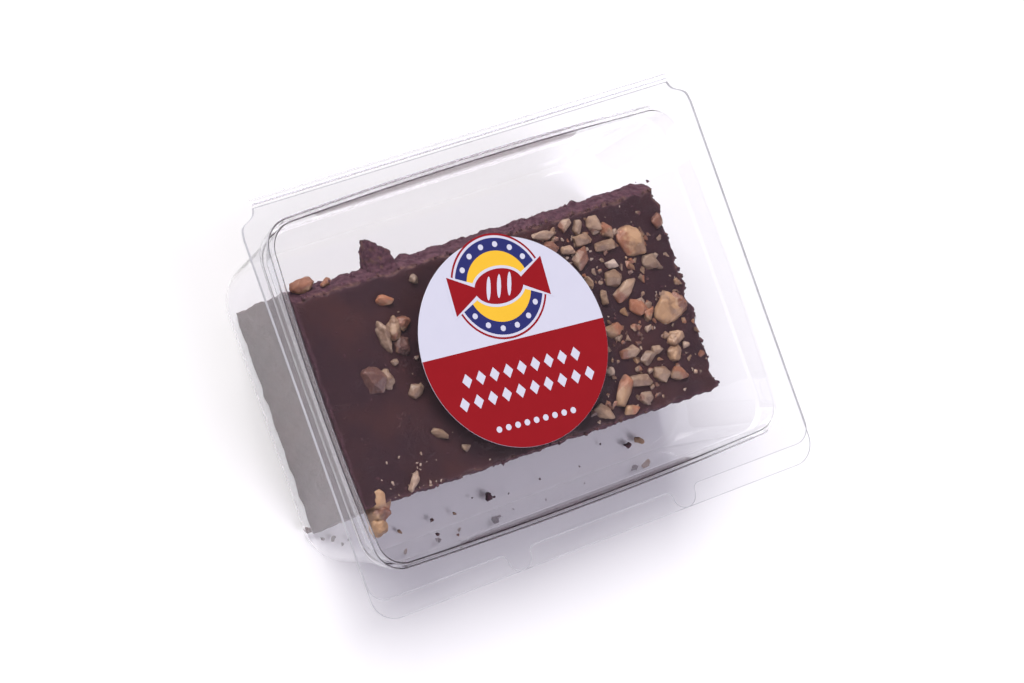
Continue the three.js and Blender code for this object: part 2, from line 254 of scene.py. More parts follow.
def waist(share, half_x, back, side):
    """A point of the back corner, which curls in from the side edge and then runs up to the hinge."""
    reach = share * (len(WAIST_POINTS) - 1)
    index = min(int(reach), len(WAIST_POINTS) - 2)
    t = reach - index
    rows = [WAIST_POINTS[min(max(index + k, 0), len(WAIST_POINTS) - 1)] for k in (-1, 0, 1, 2)]
    smooth = [
        0.5 * (2 * b + (c - a) * t + (2 * a - 5 * b + 4 * c - d) * t * t
               + (3 * b - a - 3 * c + d) * t ** 3)
        for a, b, c, d in zip(*rows)
    ]
    return side * (half_x - smooth[0]), min(WAIST_START + smooth[1], back)


class Ring:
    """A rounded rectangle at one height whose sides swell outwards by bulge at their middles."""

    def __init__(self, half_x, front, back, corner, z, bulge=0.0):
        self.values = np.array([half_x, front, back, corner, z, bulge], float)

    @classmethod
    def even(cls, half_x, half_y, corner, z, bulge=0.0):
        return cls(half_x, half_y, half_y, corner, z, bulge)

    def distance(self, other):
        gap = np.abs(self.values - other.values)
        return math.hypot(max(gap[:3]), gap[4])

    def points(self, on_flange=False, tab_share=0.0):
        """Points round the ring. On the flange its back corners curl in to the hinge, and its front
        edge has a share of the tabs."""
        half_x, front, back, corner, z, bulge = self.values
        side_end = WAIST_START if on_flange else back - corner
        corners = [
            (half_x - corner, back - corner), (corner - half_x, back - corner),
            (corner - half_x, corner - front), (half_x - corner, corner - front),
        ]
        out = []
        for index, here in enumerate(corners):
            after = corners[(index + 1) % 4]
            for step in range(CORNER_STEPS + 1):
                angle = (index + step / CORNER_STEPS) * math.pi / 2
                place = (here[0] + corner * math.cos(angle), here[1] + corner * math.sin(angle))
                if on_flange and index < 2:
                    share = step / CORNER_STEPS if index == 0 else 1 - step / CORNER_STEPS
                    place = waist(share, half_x, back, 1 if index == 0 else -1)
                out.append((*place, z))
            start, end = list(here), list(after)
            if index == 1:
                start[1] = side_end
            if index == 3:
                end[1] = side_end
            normal = (index + 1) * math.pi / 2
            out_x, out_y = math.cos(normal), math.sin(normal)
            for along, push in side_places(start[0], end[0], index == 2, on_flange, tab_share):
                swell = corner + bulge * (1 - (2 * along - 1) ** 2) + push
                out.append((
                    lerp(start[0], end[0], along) + swell * out_x,
                    lerp(start[1], end[1], along) + swell * out_y,
                    z,
                ))
        return out


def rounded(rings, radii, steps=5):
    """The rings with each bend between them rounded by its radius, and a ring just outside each end
    of the bend that keeps the flat beyond it flat."""
    out = [rings[0]]
    for before, here, after, radius in zip(rings, rings[1:], rings[2:], radii):
        ends, keepers = [], []
        for other in (before, after):
            share = min(radius / here.distance(other), LONGEST_BEND)
            ends.append(lerp(here.values, other.values, share))
            keepers.append(lerp(here.values, other.values, KEEPER_REACH * share))
        bend = [keepers[0]]
        for step in range(steps + 1):
            t = step / steps
            bend.append((1 - t) ** 2 * ends[0] + 2 * t * (1 - t) * here.values + t ** 2 * ends[1])
        bend.append(keepers[1])
        out += [Ring(*values) for values in bend]
    out.append(rings[-1])
    return out


def skin_over(rows):
    """Closed faces over rows of points, with a flat cap on the first and on the last."""
    count = len(rows[0])
    points = [point for row in rows for point in row]
    faces = []
    for level in range(len(rows) - 1):
        for index in range(count):
            a = level * count + index
            b = level * count + (index + 1) % count
            faces.append((a, b, b + count, a + count))
    first = list(range(count))
    last = [(len(rows) - 1) * count + index for index in range(count)]
    faces += [tuple(reversed(first)), tuple(last)]
    return points, faces


def inner(values, by, z):
    """The ring at height z that lies this far inside a named one, or outside it if by is negative."""
    corner = max(values["corner"] - by, 0.6)
    bulge = values.get("bulge", 0.0)
    return Ring.even(values["half_x"] - by, values["half_y"] - by, corner, z, bulge)


def make_shell(name, outside, inside, edge, tabs, body, materials):
    """A closed sheet between two skins that meet at the flange's cut edge."""
    half_x, front, back, corner, under, top = edge
    rows = [ring.points() for ring in outside[:-1]]
    first_cut = len(rows) + 1
    for by, z, share in ((FLANGE_MARGIN, under, 0), (CUT_MARGIN, under, tabs), (0, under, tabs),
                         (0, top, tabs), (CUT_MARGIN, top, tabs), (FLANGE_MARGIN, top, 0)):
        ring = Ring(half_x - by, front - by, back - by, corner - by, z)
        rows.append(ring.points(on_flange=True, tab_share=share))
    rows += [ring.points() for ring in inside[1:]]
    shell = make_object(name, *skin_over(rows), "clear_plastic", body)
    for material in materials:
        shell.data.materials.append(material)
    count = len(rows[0])
    for index in range(first_cut * count, (first_cut + 3) * count):
        shell.data.polygons[index].material_index = 1
    sharpen(shell)
    return shell


def make_tub(materials):
    under, top = TUB_FLANGE_TOP - SHEET, TUB_FLANGE_TOP
    step_out = dict(WALL_TOP, half_x=WALL_TOP["half_x"] + LEDGE_STEP,
                    half_y=WALL_TOP["half_y"] + LEDGE_STEP)
    flange = (FLANGE_HALF_X, TUB_FLANGE_FRONT, FLANGE_BACK, TUB_FLANGE_CORNER)
    outside = rounded([
        inner(BASE, FLAT_INSET, 0.0), inner(BASE, 0, 0.0), inner(WALL_TOP, 0, LEDGE_Z),
        inner(step_out, 0, LEDGE_Z + LEDGE_RISE), inner(MOUTH, 0, under), Ring(*flange, under),
    ], [BASE_ROUNDING, LEDGE_BEND, LEDGE_BEND, MOUTH_BEND])
    inside = rounded([
        Ring(*flange, top), inner(MOUTH, SHEET, top),
        inner(step_out, SHEET, LEDGE_Z + SHEET + LEDGE_RISE),
        inner(WALL_TOP, SHEET, LEDGE_Z + SHEET), inner(BASE, SHEET, SHEET),
        inner(BASE, FLAT_INSET, SHEET),
    ], [MOUTH_BEND + SHEET, LEDGE_BEND, LEDGE_BEND, BASE_ROUNDING - SHEET])
    tub = make_shell("tub_shell", outside, inside, (*flange, under, top), 0, "tub", materials)
    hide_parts("tub")


def make_lid(materials):
    under, top = LID_FLANGE_UNDER, LID_FLANGE_UNDER + SHEET
    flange = (FLANGE_HALF_X, LID_FLANGE_FRONT, FLANGE_BACK, LID_FLANGE_CORNER)
    outside = rounded([
        inner(PANEL, FLAT_INSET, PANEL_Z - SHEET), inner(PANEL, -SHEET, PANEL_Z - SHEET),
        inner(RECESS, -SHEET, under), Ring(*flange, under),
    ], [PANEL_BEND + SHEET, RECESS_BEND])
    inside = rounded([
        Ring(*flange, top), inner(RECESS, 0, top), inner(PANEL, 0, PANEL_Z),
        inner(PANEL, FLAT_INSET, PANEL_Z),
    ], [RECESS_BEND + SHEET, PANEL_BEND])
    lid = make_shell("lid_shell", outside, inside, (*flange, under, top), 1, "lid", materials)
    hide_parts("lid")


def make_hinge(material):
    """The folded bead along the back: an arched strip of sheet, swept along X."""
    outline = []
    for radius, angles in ((HINGE_RADIUS, np.linspace(-20, 200, 17)),
                           (HINGE_RADIUS - SHEET, np.linspace(200, -20, 17))):
        for angle in np.radians(angles):
            outline.append((radius * math.cos(angle), radius * math.sin(angle)))
    rows = []
    for x in np.linspace(-HINGE_HALF_LENGTH, HINGE_HALF_LENGTH, 60):
        rows.append([(x, HINGE_Y + y, HINGE_Z + z) for y, z in reversed(outline)])
    hinge = make_object("hinge_bead", *skin_over(rows), "clear_plastic")
    hinge.data.materials.append(material)
    sharpen(hinge)
    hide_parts("tub")


# ---- Slab ----

GRID = (196, 98, 54)

# How ragged the faces are in millimetres: torn at the back and right, less so at the front, and
# nearly smooth at the left end, which was cut
RAGGED_TORN = 0.6
RAGGED_FRONT = 0.35
RAGGED_CUT_END = 0.15
CUT_END_CRUMBLY = 0.35


def box_grid(counts):
    """The points and faces of a closed box grid, as whole-number places."""
    index_of, places, faces = {}, [], []

    def at(place):
        if place not in index_of:
            index_of[place] = len(places)
            places.append(place)
        return index_of[place]

    for axis in range(3):
        u_axis, v_axis = (axis + 1) % 3, (axis + 2) % 3
        for side in (0, counts[axis]):
            for u in range(counts[u_axis]):
                for v in range(counts[v_axis]):
                    quad = []
                    for du, dv in ((0, 0), (1, 0), (1, 1), (0, 1)):
                        place = [0, 0, 0]
                        place[axis], place[u_axis], place[v_axis] = side, u + du, v + dv
                        quad.append(at(tuple(place)))
                    faces.append(tuple(quad) if side else tuple(reversed(quad)))
    return places, faces


def slab_point(u, v, w):
    """A point of the slab's skin from shares along X, Y and Z, how crumbly it is there, and how near
    it lies to the worn top edge."""
    rough_x = lerp(FUDGE_LEFT, FUDGE_RIGHT, u)
    rough_y = lerp(FUDGE_FRONT, FUDGE_BACK, v)
    z = lerp(FUDGE_FLOOR, top_of_slab(rough_x, rough_y), w)
    x = lerp(left_of_slab(rough_y, z), right_of_slab(rough_y, z), u)
    y = lerp(front_of_slab(x, z), back_of_slab(x, z), v)
    gap_x, gap_y = min(u, 1 - u) * SLAB_LENGTH, min(v, 1 - v) * SLAB_WIDTH
    side_gap, corner_gap = min(gap_x, gap_y), math.hypot(gap_x, gap_y)
    top_gap = (1 - w) * SLAB_HEIGHT
    lump = bumps((x, y, z), 2.6, 4)
    grain = bumps((x + 40, y, z), 0.9, 3)
    edge_wander = 0.5 + 0.6 * bumps((x, y, 7.0), 3.0, 3)
    rim = math.exp(-(side_gap + top_gap) / 0.7) * clamp(edge_wander, 0, 1.2)
    rim *= clamp(60 * u, 0.15, 1)
    crumbly = 1.0 if side_gap < 0.01 else clamp(1.1 - side_gap / (0.5 + edge_wander))
    ragged = RAGGED_TORN if v == 1 or u == 1 else RAGGED_FRONT
    if u == 0:
        crumbly, ragged = CUT_END_CRUMBLY, RAGGED_CUT_END
    ragged *= clamp(0.25 + 0.18 * corner_gap)
    out_x = -1.0 if u == 0 else (1.0 if u == 1 else 0.0)
    out_y = -1.0 if v == 0 else (1.0 if v == 1 else 0.0)
    push = ragged * lump + 0.45 * ragged * grain - 0.9 * rim * clamp(0.6 + 0.15 * corner_gap)
    x += out_x * push
    y += out_y * push
    if w == 1:
        z += 0.05 * bumps((x, y, 0), 6.0) - 0.5 * rim + 0.12 * crumbly * grain
    return (x, y, z), crumbly, clamp(1.5 * rim)


def make_slab(material):
    places, faces = box_grid(GRID)
    points, crumbly, rims = [], [], []
    for i, j, k in places:
        point, value, rim = slab_point(i / GRID[0], j / GRID[1], k / GRID[2])
        points.append(point)
        crumbly.append(value)
        rims.append(rim)
    slab = make_object("fudge_slab", points, faces, "fudge")
    give_values(slab, "crumbly", crumbly)
    give_values(slab, "rim", rims)
    slab.data.materials.append(material)
    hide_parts("fudge")


# The splinter behind the slab: its middle height, and its sections' left, right, y and half height
SPLINTER_Z = 26.2
SPLINTER_SECTIONS = [
    (-30.9, -21.9, 23.0, 2.9), (-28.9, -22.0, 28.6, 2.1), (-28.2, -24.6, 31.2, 1.3),
    (-27.8, -27.0, 33.2, 0.5),
]


def make_splinter(material):
    corners = []
    for left, right, y, half in SPLINTER_SECTIONS:
        corners += [
            (left, y, SPLINTER_Z - half), (right, y, SPLINTER_Z - half),
            (left + 0.3 * half, y, SPLINTER_Z + half), (right - 0.3 * half, y, SPLINTER_Z + half),
        ]
    points, faces = lumpy_hull(corners, cuts=5, amount=0.55, size=1.5, seed=5)
    piece = make_object("fudge_splinter", points, faces, "fudge")
    give_values(piece, "crumbly", [1.0] * len(points))
    give_values(piece, "rim", [clamp(bumps(point, 1.5)) for point in points])
    piece.data.materials.append(material)
    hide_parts("splinter")


CRUMB_SEED = 9173
EDGE_CRUMBS = 210
END_CRUMBS = 60
TOP_CRUMBS = 120

# Crumbs on the pack's floor and walls: x, y, z, size and how warm in colour
FLOOR_CRUMBS = [
    (-4.8, -34.6, 1.2, 2.6, 0.1), (-3.4, -34.9, 1.0, 1.2, 0.2), (-8.9, -33.3, 0.7, 0.8, 0.3),
    (-21.5, -35.0, 1.0, 1.7, 0.6), (-29.2, -38.2, 16.0, 1.6, 0.4), (-31.6, -39.5, 30.0, 1.0, 0.9),
    (10.7, -34.7, 0.9, 0.8, 0.2), (1.0, -35.4, 1.0, 0.7, 0.1), (37.8, -34.4, 1.1, 2.4, 0.3),
    (22.5, -35.2, 1.0, 0.7, 0.4), (-53.9, -27.0, 1.7, 2.8, 0.5), (-48.0, -31.0, 1.0, 1.8, 0.2),
    (-44.0, -32.6, 0.9, 1.4, 0.1), (-50.6, -30.2, 1.0, 1.5, 0.3), (-46.0, -33.0, 0.8, 0.9, 0.1),
    (30.5, -31.8, 0.7, 0.7, 0.3), (-36.0, -31.5, 0.7, 0.8, 0.2),
]


def make_crumbs(material):
    """Loose fudge along the worn edges, on the top, at the slab's foot and on the pack's floor."""
    draw = draws_from(CRUMB_SEED)
    points, faces, rims = [], [], []

    def crumb(x, y, z, size, rim):
        width, height = size * lerp(0.6, 0.95, draw()), size * lerp(0.5, 0.8, draw())
        turn, seed = 180 * draw(), 1 + int(90000 * draw())
        corners = chunk_points(x, y, z, size, width, height, turn, 9, seed)
        made, made_faces = lumpy_hull(corners, 2, 0.12 * size, 0.5 * size, 31 * draw())
        start = len(points)
        points.extend(made)
        faces.extend(tuple(start + index for index in face) for face in made_faces)
        rims.extend([rim] * len(made))

    for _ in range(EDGE_CRUMBS):
        x = lerp(FUDGE_LEFT + 2, FUDGE_RIGHT, draw())
        edge, size = draw(), 0.4 + 1.1 * draw() ** 3
        if edge < 0.45:
            y = FUDGE_BACK + BACK_TURN * x - 0.3 + 0.8 * draw()
            crumb(x, y, FUDGE_TOP - 0.15, size, draw())
        elif edge < 0.7:
            y = FUDGE_BACK + 0.8 + 1.8 * draw()
            crumb(x, y, FUDGE_TOP - 4.3 * draw(), size, 0.4 * draw())
        else:
            x = lerp(x, FUDGE_RIGHT, 0.4 * draw())
            y = FUDGE_FRONT + FRONT_TURN * x - 0.2 + 0.9 * draw()
            crumb(x, y, FUDGE_TOP - 0.2, size, draw())
    for _ in range(END_CRUMBS):
        y = lerp(FUDGE_FRONT, FUDGE_BACK, draw())
        x = right_of_slab(y, FUDGE_TOP) - 0.5 + 0.7 * draw()
        crumb(x, y, FUDGE_TOP - 0.2 - 1.5 * draw(), 0.4 + 1.3 * draw() ** 2, 0.7 * draw())
    for _ in range(TOP_CRUMBS):
        spread = draw()
        x = lerp(12, 49, draw()) if spread < 0.6 else lerp(-50, 12, draw())
        y = lerp(FUDGE_FRONT + 1, FUDGE_BACK - 1, draw() if spread < 0.8 else draw() ** 3)
        crumb(x, y, top_of_slab(x, y), 0.35 + 0.9 * draw() ** 2, 0.5 * draw())
    for x, y, z, size, rim in FLOOR_CRUMBS:
        crumb(x, y, z, size, rim)
    piece = make_object("fudge_crumbs", points, faces, "fudge")
    give_values(piece, "crumbly", [1.0] * len(points))
    give_values(piece, "rim", rims)
    piece.data.materials.append(material)


# ---- Pecans ----

GOLDEN_ANGLE = 2.399963


def lumpy_hull(points, cuts, amount, size, seed, bevel=0.0):
    """The points and faces of a hull that is cut finer and made uneven."""
    bm = bmesh.new()
    for point in points:
        bm.verts.new(point)
    bmesh.ops.convex_hull(bm, input=bm.verts)
    loose = [vertex for vertex in bm.verts if not vertex.link_faces]
    bmesh.ops.delete(bm, geom=loose, context="VERTS")
    if bevel:
        bmesh.ops.bevel(bm, geom=bm.edges[:], offset=bevel, segments=2, profile=0.5,
                        affect="EDGES", clamp_overlap=True)
    bmesh.ops.triangulate(bm, faces=bm.faces[:])
    for _ in range(cuts):
        longest = max(edge.calc_length() for edge in bm.edges)
        long_edges = [edge for edge in bm.edges if edge.calc_length() > 0.5 * longest]
        bmesh.ops.subdivide_edges(bm, edges=long_edges, cuts=1)
        bmesh.ops.triangulate(bm, faces=bm.faces[:])
    bmesh.ops.recalc_face_normals(bm, faces=bm.faces[:])
    bm.normal_update()
    shift = Vector((3.1 * seed, 1.7 * seed, 0.9 * seed))
    normals = [vertex.normal.copy() for vertex in bm.verts]
    for vertex, normal in zip(bm.verts, normals):
        vertex.co += amount * noise.fractal((vertex.co + shift) / size, 0.8, 2.2, 3) * normal
    bm.verts.index_update()
    made = [tuple(vertex.co) for vertex in bm.verts]
    faces = [tuple(vertex.index for vertex in face.verts) for face in bm.faces]
    bm.free()
    return made, faces


def chunk_points(x, y, z, length, width, height, turn, corners, seed):
    """The corners of an uneven chunk of this size about a point, turned about Z by degrees."""
    draw = draws_from(seed)
    turned = Matrix.Rotation(math.radians(turn), 3, "Z")
    out = []
    for index in range(corners):
        level = 1 - 2 * (index + 0.5) / corners
        around = index * GOLDEN_ANGLE + 0.9 * draw()
        across = math.sqrt(1 - level * level)
        reach = 0.8 + 0.32 * draw()
        local = Vector((
            reach * across * math.cos(around) * length / 2,
            reach * across * math.sin(around) * width / 2,
            reach * level * height / 2,
        ))
        out.append(turned @ local + Vector((x, y, z)))
    return out


# The large pieces, each of one or more chunks: x, y, z, length, width, height, turn, corners, seed,
# tone, skin, the way the skin faces, the skin's redness to orange, and how creamy the flesh is
LARGE_PECANS = [
    [(40.4, 13.1, 29.9, 10.8, 8.2, 5.2, -39, 14, 11, 0.95, 0.42, 180, 0.7, 0.15)],
    [(43.9, -5.9, 29.8, 10.6, 9.8, 5.4, -25, 13, 23, 0.8, 0.25, 0, 0.4, 0.1),
     (46.8, -5.2, 30.2, 6.4, 7.0, 4.4, 20, 12, 29, 0.6, 0.7, 20, 0.35, 0.1)],
    [(43.2, -12.9, 30.0, 6.4, 5.8, 4.4, 40, 12, 37, 0.7, 0.0, 0, 0.5, 0.2),
     (41.4, -16.4, 29.8, 6.2, 4.6, 4.4, 62, 12, 38, 0.65, 0.0, 0, 0.5, 0.1)],
    [(-39.0, 1.2, 29.7, 7.2, 8.2, 5.0, 37, 22, 41, 0.3, 1.0, 180, 0.0, 0.0),
     (-36.0, 0.2, 29.9, 4.8, 7.4, 4.8, 10, 12, 43, 0.2, 0.1, 180, 0.4, 0.1)],
    [(-32.8, 9.4, 30.0, 9.6, 4.2, 4.8, 95, 13, 59, 0.2, 0.0, 0, 0.4, 0.2),
     (-29.7, 10.6, 30.2, 7.2, 4.6, 4.8, 84, 14, 61, 0.4, 0.4, -60, 0.4, 0.1),
     (-28.8, 6.8, 29.6, 5.6, 5.8, 4.6, 20, 15, 62, 0.3, 1.0, 0, 0.0, 0.0),
     (-27.0, 11.6, 29.8, 5.2, 4.4, 4.2, 30, 12, 63, 0.4, 0.9, 30, 0.35, 0.0)],
    [(-47.5, -25.4, 27.8, 8.6, 7.0, 6.8, 78, 15, 64, 0.85, 0.3, -60, 0.7, 0.1),
     (-48.2, -28.6, 26.9, 6.6, 6.8, 7.2, 60, 15, 68, 0.6, 0.7, 0, 0.3, 0.1),
     (-48.7, -31.4, 26.6, 5.8, 5.4, 6.6, 80, 14, 69, 0.9, 0.3, 90, 0.9, 0.1)],
]

# Chopped pieces: x, y, length, width, turn, tone from grey to gold, skin, its hue, and cream
CHOPPED_PECANS = [
    (43.6, 6.4, 4.7, 3.8, -34, 0.12, 0.0, 0.4, 0.1), (33.1, 13.7, 5.9, 2.9, -3, 0.25, 0.1, 0.5, 0.0),
    (34.7, 17.0, 3.9, 3.2, -44, 0.4, 0.7, 0.7, 0.1), (31.5, 19.7, 4.9, 3.4, -34, 0.5, 0.2, 0.7, 0.3),
    (27.0, 20.0, 4.5, 2.2, 57, 0.2, 0.0, 0.5, 0.1), (23.6, 21.4, 4.2, 2.5, 47, 0.3, 0.5, 0.4, 0.2),
    (17.7, 20.6, 6.2, 2.3, -7, 0.4, 0.1, 0.6, 0.3), (26.5, 16.8, 4.9, 3.1, -7, 0.35, 0.1, 0.6, 0.1),
    (22.2, 15.4, 4.0, 2.2, -16, 0.5, 0.1, 0.7, 0.3), (18.0, 17.4, 4.7, 2.8, -25, 0.2, 1.0, 0.3, 0.0),
    (25.0, 12.6, 5.3, 3.6, 51, 0.2, 0.8, 0.35, 0.1), (32.6, 8.9, 3.4, 2.0, -12, 0.4, 0.0, 0.5, 1.0),
    (31.9, 5.6, 4.9, 3.8, -16, 0.2, 0.25, 0.5, 0.0), (33.7, 1.8, 7.1, 3.6, 27, 0.4, 0.5, 0.5, 0.2),
    (35.8, -3.1, 5.4, 4.0, -16, 0.6, 1.0, 0.8, 0.0), (38.0, -5.4, 4.0, 2.2, 51, 0.5, 0.6, 0.7, 0.1),
    (26.8, -6.2, 5.0, 3.3, -8, 0.55, 0.5, 0.8, 0.0), (29.6, -12.7, 5.7, 3.1, 0, 0.3, 0.5, 0.4, 0.2),
    (33.8, -15.4, 4.3, 3.3, 36, 0.1, 0.1, 0.3, 0.1), (36.5, -14.2, 2.7, 2.2, -17, 0.25, 0.1, 0.5, 0.2),
    (35.8, -20.3, 4.4, 4.2, 56, 0.3, 0.0, 0.5, 0.1), (40.5, -21.5, 4.5, 3.2, -17, 0.3, 0.6, 0.6, 0.1),
    (24.2, -21.1, 7.2, 4.4, 56, 0.6, 0.6, 0.85, 0.1), (29.7, -20.0, 7.1, 3.0, -21, 0.2, 0.0, 0.5, 0.1),
    (29.3, -24.3, 3.7, 3.2, 46, 0.15, 0.4, 0.2, 0.2), (24.6, -26.0, 4.3, 2.5, -8, 0.7, 0.5, 1.0, 0.1),
    (16.8, -24.1, 5.0, 3.1, -40, 0.35, 0.0, 0.5, 0.2), (49.4, 15.3, 4.1, 3.0, 89, 0.35, 0.7, 0.3, 0.4),
    (22.4, -15.6, 2.8, 2.2, -61, 0.3, 0.0, 0.5, 0.7), (27.6, 1.6, 3.5, 2.3, 89, 0.3, 0.1, 0.5, 0.1),
    (25.1, 6.4, 3.1, 1.8, -78, 0.5, 0.2, 0.6, 0.2), (-29.3, 17.7, 4.9, 2.3, -16, 0.9, 0.7, 1.0, 0.3),
    (-20.4, 20.3, 2.3, 2.2, 68, 0.0, 0.0, 0.4, 0.1), (-29.6, -4.5, 4.1, 3.4, 37, 0.2, 0.1, 0.4, 0.1),
    (-27.0, -16.1, 4.8, 2.0, -36, 0.15, 0.1, 0.4, 0.0), (-38.0, -24.5, 4.7, 1.7, 52, 0.3, 0.1, 0.4, 0.4),
]
CHOPPED_HEIGHT = 3.0
CHOPPED_SINK = 0.4
CHOPPED_FULLNESS = 1.3
FINE_COUNT = 46
FINE_SIZE = (1.5, 3.2)
FINE_THICK_FROM = 12
FINE_THIN_FROM = -33
FINE_SEED = 2027
TINT_SEED = 4099
SHARD_COUNT = 170
FLECK_COUNT = 130

# The nuts caught behind the slab's back corner: x, y, z, length, width, height and turn
CORNER_NUTS = [(-46.9, 27.2, 27.6, 7.8, 4.4, 4.4, -6), (-41.2, 26.2, 28.0, 3.4, 2.2, 2.4, 30)]
CORNER_TINT = (0.8, 0.7, 90, 1.0, 0.0)

# Where the top's back right corner, which has no shards, begins
BARE_FROM = (36, 15)

# Nuts on the pack's floor: x, y, z and length
FLOOR_NUTS = [(41.2, -34.3, 1.4, 3.6), (-30.7, -34.9, 0.8, 1.8), (-15.2, -35.4, 1.1, 1.6)]
FLOOR_TINT = (0.6, 0.2, 0, 0.8, 0.1)


def fine_pecans():
    """The small pieces: x, y, length, width and turn, three in four of them at the nutty end."""
    draw = draws_from(FINE_SEED)
    out = []
    for index in range(FINE_COUNT):
        thick = index % 4 != 0
        x = lerp(FINE_THICK_FROM if thick else FINE_THIN_FROM,
                 FUDGE_RIGHT - 3 if thick else FINE_THICK_FROM, draw())
        y = lerp(FUDGE_FRONT + 2.5, FUDGE_BACK - 3.5, draw())
        length = lerp(*FINE_SIZE, draw())
        out.append((x, y, length, length * lerp(0.6, 0.95, draw()), 180 * draw()))
    return out


class Nuts:
    """Collects nut chunks with their tints into one mesh."""

    def __init__(self):
        self.points, self.faces, self.tints, self.smear_and_shade = [], [], [], []

    def add(self, chunk, tint, cuts, amount, bevel=0.0):
        """Adds a chunk. Its tint is tone, skin, the way the skin faces, the skin's hue and cream."""
        x, y, z, length, width, height, turn, corners, seed = chunk
        hull = chunk_points(x, y, z, length, width, height, turn, corners, seed)
        points, faces = lumpy_hull(hull, cuts, amount, 0.2 * length + 0.5, seed % 97, bevel)
        tone, skin, facing, hue, cream = tint
        angle = math.radians(facing)
        towards = Vector((math.cos(angle), math.sin(angle), 0.0))
        start = len(self.points)
        self.points += points
        self.faces += [tuple(start + index for index in face) for face in faces]
        for point in points:
            away = (Vector(point) - Vector((x, y, z))).dot(towards) / (0.5 * length)
            edge = away + 0.5 * bumps(point, 2.0, 2) + 2.0 * skin - 1.05
            self.tints.append((tone, clamp(4.0 * edge) if skin else 0.0, hue, cream))
            # Darker towards each nut's foot: partly fudge smeared on it, partly painted shade where it
            # sinks into the slab
            smear_and_shade = clamp(0.6 - (point[2] - FUDGE_TOP) / 1.2 + 0.7 * bumps(point, 1.4, 2))
            self.smear_and_shade.append(smear_and_shade if z > FUDGE_TOP - 1 else 0.25 * smear_and_shade)

    def build(self, name, material, smear_and_shade=True):
        piece = make_object(name, self.points, self.faces, "pecan")
        attribute = piece.data.attributes.new("tint", "FLOAT_COLOR", "POINT")
        attribute.data.foreach_set("color", [value for tint in self.tints for value in tint])
        give_values(piece, "smear_and_shade", self.smear_and_shade if smear_and_shade else [0.0] * len(self.points))
        piece.data.materials.append(material)
        sharpen(piece, 42)
        return piece


def make_large_pecans(material):
    for number, chunks in enumerate(LARGE_PECANS, 1):
        nut = Nuts()
        for chunk in chunks:
            nut.add(chunk[:9], chunk[9:], cuts=4, amount=0.3, bevel=0.3)
        on_top = number < len(LARGE_PECANS)
        piece = nut.build(f"pecan_piece_{number}", material, smear_and_shade=on_top)
        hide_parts(f"pecan_{number}")


def make_chopped_pecans(material, draw):
    chopped = Nuts()
    for index, (x, y, length, width, turn, tone, skin, hue, cream) in enumerate(CHOPPED_PECANS):
        z = top_of_slab(x, y) + (0.5 - CHOPPED_SINK) * CHOPPED_HEIGHT
        chunk = (x, y, z, CHOPPED_FULLNESS * length, CHOPPED_FULLNESS * width, CHOPPED_HEIGHT, turn,
                 11, 101 + 7 * index)
        tint = (tone, skin, 360 * draw(), hue, cream)
        chopped.add(chunk, tint, cuts=3, amount=0.16, bevel=0.16)
    for index, nut in enumerate(CORNER_NUTS):
        chopped.add((*nut, 14, 83 + index), CORNER_TINT, cuts=3, amount=0.3, bevel=0.2)
    chopped.build("pecan_chopped", material)


def make_fine_pecans(material, draw):
    fine = Nuts()
    for index, (x, y, length, width, turn) in enumerate(fine_pecans(), len(CHOPPED_PECANS)):
        height = 0.7 * width
        z = top_of_slab(x, y) + (0.5 - CHOPPED_SINK) * height
        chunk = (x, y, z, length, width, height, turn, 9, 101 + 7 * index)
        tint = (0.5 * draw(), 0.9 * draw() ** 2, 360 * draw(), draw(), 0.5 * draw() ** 2)
        fine.add(chunk, tint, cuts=2, amount=0.1, bevel=0.08)
    fine.build("pecan_fine", material)


def make_shards(material, draw):
    """Flat splinters of nut over the nutty end, apart from its bare corner."""
    shards = Nuts()
    for index in range(SHARD_COUNT):
        x, y = lerp(13, 49.5, draw()), lerp(FUDGE_FRONT + 1.2, FUDGE_BACK - 2.2, draw())
        if x > BARE_FROM[0] and y > BARE_FROM[1]:
            continue
        length = 1.1 + 2.0 * draw() ** 1.6
        height = length * lerp(0.3, 0.5, draw())
        width = length * lerp(0.45, 0.8, draw())
        z = top_of_slab(x, y) + 0.15 * height
        chunk = (x, y, z, length, width, height, 180 * draw(), 7, 1511 + 11 * index)
        tint = (draw(), 1.1 * draw(), 360 * draw(), draw(), 0.5 * draw() ** 3)
        shards.add(chunk, tint, cuts=2, amount=0.1)
    shards.build("pecan_shards", material)


def make_flecks(material, draw):
    """Pale specks of nut: most at the nutty end, some at the front left, a few all over."""
    flecks = Nuts()
    for index in range(FLECK_COUNT):
        group = draw()
        if group < 0.62:
            x, y = lerp(14, 50, draw()), lerp(FUDGE_FRONT + 0.6, FUDGE_BACK - 0.8, draw())
        elif group < 0.86:
            x, y = lerp(-46, -30, draw()), FUDGE_FRONT + 0.8 + 9 * draw() ** 1.5
        else:
            x, y = lerp(-50, 10, draw()), lerp(FUDGE_FRONT + 1, FUDGE_BACK - 1, draw())
        length = 0.4 + 1.1 * draw() ** 2
        z = top_of_slab(x, y) + 0.12 * length
        chunk = (x, y, z, length, 0.6 * length, 0.45 * length, 180 * draw(), 8, 977 + 13 * index)
        tint = (0.4 * draw(), 0.0, 0, 0.5, 0.2 + 0.8 * draw())
        flecks.add(chunk, tint, cuts=1, amount=0.03)
    for x, y, z, length in FLOOR_NUTS:
        chunk = (x, y, z, length, 0.6 * length, 0.5 * length, 180 * draw(), 12, 61 + int(x))
        flecks.add(chunk, FLOOR_TINT, cuts=2, amount=0.15, bevel=0.1)
    flecks.build("pecan_flecks", material, smear_and_shade=False)


def make_pecans(material):
    draw = draws_from(TINT_SEED)
    make_large_pecans(material)
    make_chopped_pecans(material, draw)
    make_fine_pecans(material, draw)
    make_shards(material, draw)
    make_flecks(material, draw)


# ---- Label ----

